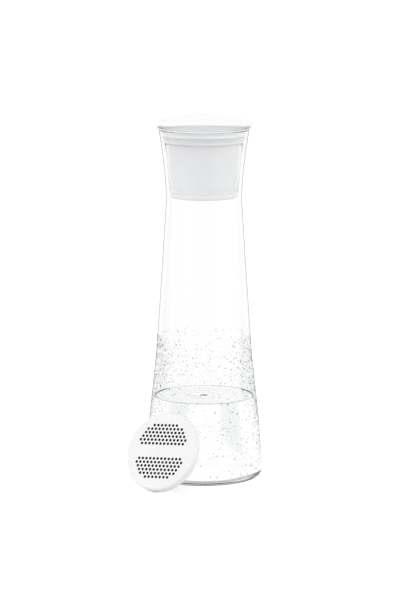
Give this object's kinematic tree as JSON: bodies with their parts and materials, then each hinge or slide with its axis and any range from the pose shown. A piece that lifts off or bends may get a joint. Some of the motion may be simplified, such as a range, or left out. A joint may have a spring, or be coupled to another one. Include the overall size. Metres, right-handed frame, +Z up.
{
  "type": "water filter carafe",
  "caption": "Tall clear water carafe with a funnel mouth, a lift-out filter insert under an arched flip lid, and a spare round filter disc leaning on it.",
  "frame": {"origin": "centre of the carafe's flat foot, on the surface it stands on", "axes": "+Z up along the carafe's axis, -Y towards the front with the pouring gap and the loose disc, +X to the right seen from the front"},
  "size_m": [0.1154, 0.1301, 0.3093],
  "materials": {
    "clear_vessel": "clear polished",
    "clear_cup": "clear polished",
    "seal_silicone": "soft satin, translucent white",
    "pin_steel": "drawn steel",
    "lid_plastic": "smooth white",
    "insert_plastic": "fine satin white",
    "disc_plastic": "fine satin white",
    "carbon": "matt black pressed carbon",
    "fleece": "grey felt"
  },
  "bodies": {
    "vessel": {"carafe": "clear_vessel"},
    "insert": {"collar": "insert_plastic", "seal_ring": "seal_silicone", "outer_cup": "clear_cup", "inner_cup": "insert_plastic", "outlet_gasket": "seal_silicone", "hinge_pin": "pin_steel", "fitted_base_shell": "disc_plastic", "fitted_lower_fleece": "fleece", "fitted_carbon_pad": "carbon", "fitted_upper_fleece": "fleece", "fitted_top_shell": "disc_plastic"},
    "lid": {"flip_lid": "lid_plastic"},
    "cap": {"outlet_cap": "insert_plastic"},
    "loose_disc": {"leaning_base_shell": "disc_plastic", "leaning_lower_fleece": "fleece", "leaning_carbon_pad": "carbon", "leaning_upper_fleece": "fleece", "leaning_top_shell": "disc_plastic"}
  },
  "joints": [
    {"name": "insert_lift", "type": "slide", "parent": "vessel", "child": "insert", "axis": [0, 0, 1], "range_m": [0, 0.09]},
    {"name": "lid_hinge", "type": "hinge", "parent": "insert", "child": "lid", "pos_m": [0, 0.0436, 0.3043], "axis": [-1, 0, 0], "range_deg": [0, 100]},
    {"name": "cap_twist", "type": "hinge", "parent": "insert", "child": "cap", "pos_m": [0, 0, 0.2445], "axis": [0, 0, -1], "range_deg": [0, 30]},
    {"name": "disc_take_away", "type": "slide", "parent": "vessel", "child": "loose_disc", "axis": [-0.4015, -0.582, 0.7071], "range_m": [0, 0.08]}
  ]
}
